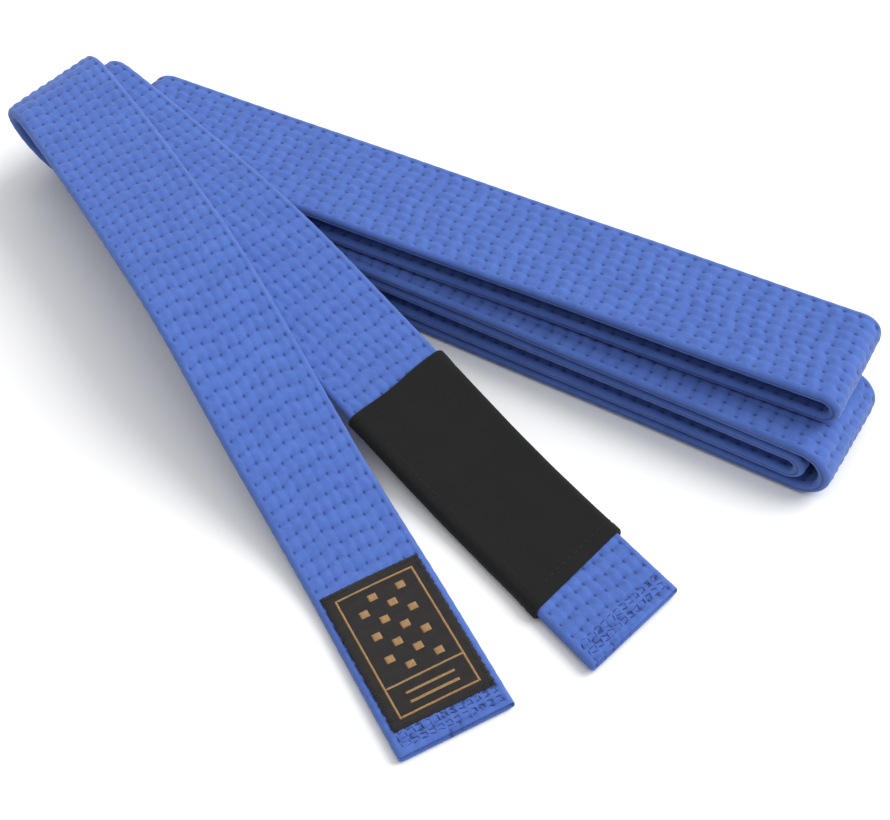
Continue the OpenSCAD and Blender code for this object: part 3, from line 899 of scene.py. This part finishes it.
def sleeve_section(grow):
    """Rounded outline of the sleeve, grown by a distance from the strap."""
    half_t = HALF_T + grow
    flat_end = HALF_W + grow - half_t
    angles = np.linspace(72, -72, 9)
    points = [(w, half_t) for w in np.linspace(-flat_end, flat_end, 32)]
    for a in np.radians(angles):
        points.append((flat_end + half_t * math.cos(a), half_t * math.sin(a)))
    points += [(w, -half_t) for w in np.linspace(flat_end, -flat_end, 32)]
    for a in np.radians(180 + angles):
        points.append((-flat_end + half_t * math.cos(a), half_t * math.sin(a)))
    return np.array(points)


# Distance of the sleeve's hem sewing from its edge, and the level its threads lie at
SLEEVE_HEM = 5.0
SLEEVE_THREAD_LEVEL = HALF_T + SLEEVE_AIR + SLEEVE_T - 0.02


def sleeve_growth(u):
    """Outer face of the sleeve over the strap: a raised hem, its sewn groove and rounded lips."""
    edge = min(u, SLEEVE_LEN - u)
    lip = 0.55 * max(0.0, 1 - edge / 0.7) ** 2
    hem = 0.22 / (1 + math.exp((edge - SLEEVE_HEM - 1.0) / 0.5))
    groove = 0.20 * math.exp(-((edge - SLEEVE_HEM) / 0.45) ** 2)
    return SLEEVE_AIR + SLEEVE_T + hem - lip - groove


def sleeve_ring(u, grow, uneven):
    """A ring of the sleeve and its cloth coordinates, at a distance u from its upper edge."""
    w, n = sleeve_section(grow).T
    # the lower edge is cut off square over the last third
    lower = max(0.0, (u - 60) / 33) * w * SLEEVE_EDGE_TAN
    wave = 0.35 * math.exp(-u / 3.0) * np.sin(w / 5.0 + 0.8)
    s = SLEEVE_0 + u + lower + wave
    lift = uneven * np.sin(u / 4.7 + w / 3.1) * np.sin(w / 5.3 - u / 9.0) * np.sign(n)
    return belt.place(s, w, n + lift), np.stack([s / STITCH, w / ROW_PITCH], -1)


def make_sleeve():
    lip = [0, 0.25, 0.7, 1.2]
    far_lip = [SLEEVE_LEN - u for u in lip[::-1]]
    places = np.concatenate([lip, np.arange(2.2, SLEEVE_LEN - 2.0, 1.1), far_lip])
    outer_rings = [sleeve_ring(u, sleeve_growth(u), 0.10) for u in places]
    inner_rings = [sleeve_ring(u, SLEEVE_AIR, 0.0) for u in places]
    rings = outer_rings + inner_rings[::-1]
    points = np.array([ring[0] for ring in rings])
    uv = np.concatenate([ring[1] for ring in rings])
    m, n = points.shape[:2]
    last = (m - 1) * n
    faces = grid_faces(m, n).tolist()
    faces += [[last + j, last + (j + 1) % n, (j + 1) % n, j] for j in range(n)]
    obj = new_object("rank_sleeve_cloth", points.reshape(-1, 3), faces, uv)
    finish_piece(obj, BLACK, "bar_tail")
    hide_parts("rank_sleeve")


def sleeve_hem(name, u, slope, stands_for):
    """A line of stitches round the sleeve, on both its faces."""
    ends = []
    for face in (-1, 1):
        level = face * SLEEVE_THREAD_LEVEL
        for k in range(13):
            w = -18.2 + k * 2.8
            a = SLEEVE_0 + u + w * slope
            ends.append(((a, w, level), (a + 2.2 * slope, w + 2.2, level)))
    obj = stitch_mesh(name, ends, 0.34, 0.28, 0.05)
    finish_piece(obj, BLACK_THREAD, "bar_tail")
    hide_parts(stands_for)


def sleeve_seam():
    """The long seam of the sleeve, on its hidden face."""
    ends = []
    w, level = 17.0, -SLEEVE_THREAD_LEVEL
    for k in range(29):
        a = SLEEVE_0 + 2 + k * 3.0
        ends.append(((a, w, level), (a + 2.3, w, level)))
    obj = stitch_mesh("sleeve_seam_stitches", ends, 0.3, 0.24, 0.05)
    finish_piece(obj, BLACK_THREAD, "bar_tail")
    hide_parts("sleeve_seam_thread")


def sleeve_stitches():
    lower = SLEEVE_LEN - SLEEVE_HEM
    sleeve_hem("sleeve_hem_stitches_upper", SLEEVE_HEM, 0.0, "sleeve_hem_thread_upper")
    sleeve_hem("sleeve_hem_stitches_lower", lower, SLEEVE_EDGE_TAN, "sleeve_hem_thread_lower")
    sleeve_seam()


# Label: where it lies along the belt, its half width, its underside and its thickness
LABEL_0, LABEL_1 = 6.8, 61.3
LABEL_W = 17.5
LABEL_BASE = HALF_T + 0.12
LABEL_T = 0.62
# How far the edge stitches reach in over the label, and their spacing
EDGE_SEWN = 1.7
EDGE_STEP = 0.85


def label_level(s, w):
    """The label lies on the puffs and follows them a little."""
    return LABEL_T + 0.16 * puff(s, w) + 0.10 * np.sin(s / 8.0 + w / 6.0)


def slab_faces(m, n, start=0):
    """Faces of a thin sheet: m by n points on top, the same number below, and walls round it."""
    below = m * n
    faces = []
    for i in range(m - 1):
        for j in range(n - 1):
            corner = start + i * n + j
            top = [corner, corner + n, corner + n + 1, corner + 1]
            faces.append(top)
            faces.append([v + below for v in reversed(top)])
    border = [i * n for i in range(m)] + [(m - 1) * n + j for j in range(1, n)]
    border += [i * n + n - 1 for i in range(m - 2, -1, -1)] + list(range(n - 2, 0, -1))
    border = [start + v for v in border]
    for a, b in zip(border, border[1:] + border[:1]):
        faces.append([b, a, a + below, b + below])
    return faces


def cloth_uv(s, w):
    return np.stack([s / STITCH, w / ROW_PITCH], -1).reshape(-1, 2)


def label_patch():
    inner_s = np.arange(LABEL_0 + 1.2, LABEL_1 - 1.0, 0.9)
    inner_w = np.linspace(-LABEL_W + 1, LABEL_W - 1, 38)
    places_s = np.concatenate([[LABEL_0, LABEL_0 + 0.35], inner_s, [LABEL_1 - 0.35, LABEL_1]])
    places_w = np.concatenate([[-LABEL_W, -LABEL_W + 0.3], inner_w, [LABEL_W - 0.3, LABEL_W]])
    s, w = np.meshgrid(places_s, places_w, indexing="ij")
    ragged = 0.22 * np.sin(s * 2.3) * (np.abs(w) > LABEL_W - 0.1) * np.sign(w)
    edge = np.minimum(np.minimum(s - LABEL_0, LABEL_1 - s), LABEL_W - np.abs(w))
    thick = label_level(s, w) - 0.30 * np.clip(1 - edge / 0.5, 0, 1)
    top = belt.place(s, w + ragged, LABEL_BASE + thick)
    under = belt.place(s, w + ragged, LABEL_BASE)
    points = np.concatenate([top.reshape(-1, 3), under.reshape(-1, 3)])
    uv = cloth_uv(s, w)
    obj = new_object("label_cloth", points, slab_faces(*s.shape), np.concatenate([uv, uv]))
    finish_piece(obj, LABEL, "label_end")
    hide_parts("label_patch")


def ribbon(s0, s1, w0, w1):
    """A flat woven bar on the label: its points, cloth coordinates and grid size."""
    count_s = max(2, int(abs(s1 - s0) / 0.6) + 1)
    count_w = max(2, int(abs(w1 - w0) / 0.6) + 1)
    s, w = np.meshgrid(np.linspace(s0, s1, count_s), np.linspace(w0, w1, count_w), indexing="ij")
    edge = np.minimum(np.minimum(s - s0, s1 - s), np.minimum(w - w0, w1 - w))
    base = LABEL_BASE + label_level(s, w)
    rise = 0.05 + 0.09 * np.clip(edge / 0.2, 0, 1) + 0.03 * np.sin(s * 14)
    top = belt.place(s, w, base + rise).reshape(-1, 3)
    under = belt.place(s, w, base - 0.08).reshape(-1, 3)
    uv = cloth_uv(s, w)
    return np.concatenate([top, under]), np.concatenate([uv, uv]), s.shape


def label_bars():
    """A thin frame with a divider, a plain lattice of squares and two bars, as boxes in s and w."""
    line = 0.7
    x = LABEL_W - 3.5
    near, far = LABEL_0 + 3, LABEL_0 + 51.0
    bars = [(near, far, -x, -x + line), (near, far, x - line, x)]
    bars += [(s, s + line, -x + line, x - line) for s in (near, near + 11, far - line)]
    for i in range(7):
        for j in range(4):
            if (i + j) % 2 == 0:
                s = near + 14.5 + i * 4.6
                w = -7.5 + j * 5.0
                bars.append((s, s + 2.6, w - 1.5, w + 1.5))
    return bars + [(s, s + 0.9, -8.5, 8.5) for s in (near + 3.4, near + 6.8)]


def label_frame():
    """The label's woven pattern: no mark, no letters."""
    points, faces, uvs = [], [], []
    start = 0
    for bar in label_bars():
        bar_points, bar_uv, size = ribbon(*bar)
        points.append(bar_points)
        uvs.append(bar_uv)
        faces += slab_faces(*size, start)
        start += len(bar_points)
    obj = new_object("label_gold_frame", np.concatenate(points), faces, np.concatenate(uvs))
    finish_piece(obj, GOLD, "label_end")
    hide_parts("label_woven_frame")


def uneven_reach(k, pace):
    """Length of the kth edge stitch."""
    return 1.9 + 0.35 * math.sin(k * pace)


def label_edge_stitches():
    """Close black stitches over the label's edge."""
    ends = []
    top = LABEL_BASE + LABEL_T + 0.12
    low = HALF_T + 0.05
    sewn_w = LABEL_W - EDGE_SEWN
    for side in (-1, 1):
        for k, s in enumerate(steps(LABEL_0 + 0.5, LABEL_1 - 0.5, EDGE_STEP)):
            out = sewn_w + uneven_reach(k, 1.7)
            ends.append(((s, side * sewn_w, top), (s + 0.35, side * out, low)))
    for edge, way in ((LABEL_0, -1), (LABEL_1, 1)):
        for k, w in enumerate(steps(-LABEL_W + 0.5, LABEL_W - 0.5, EDGE_STEP)):
            out = uneven_reach(k, 2.3) - EDGE_SEWN
            ends.append(((edge - way * EDGE_SEWN, w, top), (edge + way * out, w + 0.35, low)))
    obj = stitch_mesh("label_edge_stitches", ends, 0.55, 0.34, 0.18)
    finish_piece(obj, BLACK_THREAD, "label_end")
    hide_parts("label_edge_stitch")


# ---------------------------------------------------------------- scene

def soft_light(name, toward, spread, power):
    """A far, wide light that falls alike on the whole floor."""
    data = bpy.data.lights.new(name, "SUN")
    data.angle = math.radians(spread)
    data.energy = power
    obj = bpy.data.objects.new(name, data)
    bpy.context.scene.collection.objects.link(obj)
    obj.rotation_mode = "QUATERNION"
    obj.rotation_quaternion = Vector(toward).to_track_quat("Z", "Y")


def make_stage():
    side = 6.0
    corners = ((-side, -side, 0), (side, -side, 0), (side, side, 0), (-side, side, 0))
    points = np.array(corners) / MM
    floor = new_object("floor", points, [(0, 1, 2, 3)], smooth=False)
    floor.location.z = FLOOR_LEVEL
    floor.data.materials.append(floor_paint())
    bpy.context.scene.view_settings.view_transform = "Standard"
    world = bpy.data.worlds.new("studio")
    bpy.context.scene.world = world
    world.use_nodes = True
    background = world.node_tree.nodes["Background"]
    background.inputs["Color"].default_value = (1, 1, 1, 1)
    background.inputs["Strength"].default_value = 0.34
    soft_light("key", (0.75, 0.70, 1.00), 45, 2.7)
    soft_light("overhead", (0.05, 0.05, 1.30), 70, 1.5)


def camera_axes(pitch, yaw, roll):
    """Right, up and backward directions of a camera, from angles in degrees."""
    pitch, yaw, roll = (math.radians(a) for a in (pitch, yaw, roll))
    level = np.array([math.cos(yaw), math.sin(yaw), 0.0])
    flat = math.cos(pitch)
    ahead = np.array([-math.sin(yaw) * flat, math.cos(yaw) * flat, -math.sin(pitch)])
    down = np.cross(ahead, level)
    right = math.cos(roll) * level + math.sin(roll) * down
    up = math.sin(roll) * level - math.cos(roll) * down
    return right, up, -ahead


def make_camera():
    place = (np.array([101.05, -357.9, 495.2]) + ORIGIN) * MM
    matrix = np.eye(4)
    matrix[:3, :3] = np.array(camera_axes(52.34, 35.22, 5.54)).T
    matrix[:3, 3] = place
    data = bpy.data.cameras.new("camera")
    data.lens = 72.63
    data.sensor_width = 36.0
    data.clip_start = 0.01
    camera = bpy.data.objects.new("camera", data)
    bpy.context.scene.collection.objects.link(camera)
    camera.matrix_world = Matrix(matrix.tolist())
    bpy.context.scene.camera = camera


make_stage()
make_camera()
make_strap()
hem_stitches("label_end_hem_stitches", 3.7, 5.0, 1, 0.0, "label_end", ["hem_stitch_label_end"])
hem_stitches("bar_end_hem_stitches", S_END - 4.6, 5.6, -1, BAR_END_SKEW, "bar_stub",
             ["hem_stitch_bar_end", "quilting_bar_stub"])
make_sleeve()
sleeve_stitches()
label_patch()
label_frame()
label_edge_stitches()
